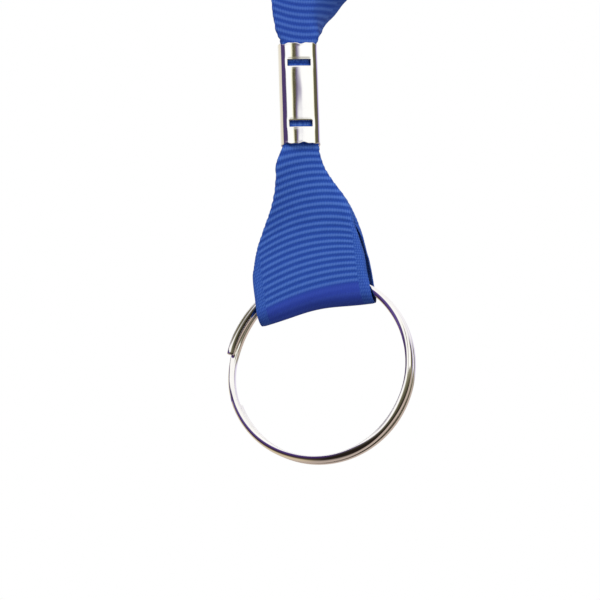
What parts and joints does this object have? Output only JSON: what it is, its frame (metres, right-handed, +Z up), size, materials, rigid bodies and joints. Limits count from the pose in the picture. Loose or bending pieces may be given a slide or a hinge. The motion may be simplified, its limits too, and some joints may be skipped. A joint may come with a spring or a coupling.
{
  "type": "lanyard",
  "caption": "Neck lanyard: a flat ribbon loop gathered in a folded metal crimp, with a short ribbon loop below the crimp that carries a split ring for a badge or keys.",
  "frame": {"origin": "top of the neck loop, on the ribbon's inner face, where it rests over what carries it", "axes": "+Z up, against the hang of the lanyard; the crimp, loop and ring face -Y; the neck loop opens along Y"},
  "size_m": [0.0312, 0.1386, 0.4676],
  "materials": {
    "ribbon": "ribbed grosgrain weave, royal blue",
    "crimp_plating": "bright nickel plate",
    "ring_plating": "bright nickel plate"
  },
  "bodies": {
    "neck": {"neck_ribbon": "ribbon"},
    "crimp": {"crimp": "crimp_plating", "ribbon_core": "ribbon"},
    "end_loop": {"end_loop": "ribbon"},
    "ring_fold": {"loop_fold": "ribbon"},
    "split_ring": {"split_ring": "ring_plating"},
    "ring_free_end": {"ring_free_end": "ring_plating"}
  },
  "joints": [
    {"name": "crimp_swing", "type": "hinge", "parent": "neck", "child": "crimp", "pos_m": [0, 0, -0.3957], "axis": [0.9962, 0.0872, 0], "range_deg": [-60, 60]},
    {"name": "loop_flex", "type": "hinge", "parent": "crimp", "child": "end_loop", "pos_m": [0, 0, -0.4138], "axis": [0.9962, 0.0872, 0], "range_deg": [-60, 60]},
    {"name": "ring_swing", "type": "hinge", "parent": "end_loop", "child": "ring_fold", "pos_m": [0.00097, 0.00035, -0.43242], "axis": [0.9539, -0.2735, 0.1236], "range_deg": [-90, 90]},
    {"name": "ring_spin", "type": "hinge", "parent": "ring_fold", "child": "split_ring", "pos_m": [0.0022, 0, -0.4508], "axis": [-0.2756, -0.9613, 0], "continuous": true},
    {"name": "ring_pry", "type": "hinge", "parent": "split_ring", "child": "ring_free_end", "pos_m": [-0.00905, 0.00177, -0.44026], "axis": [-0.703, 0.2016, 0.682], "range_deg": [0, 13], "stiffness_Nm_per_rad": 0.5}
  ]
}
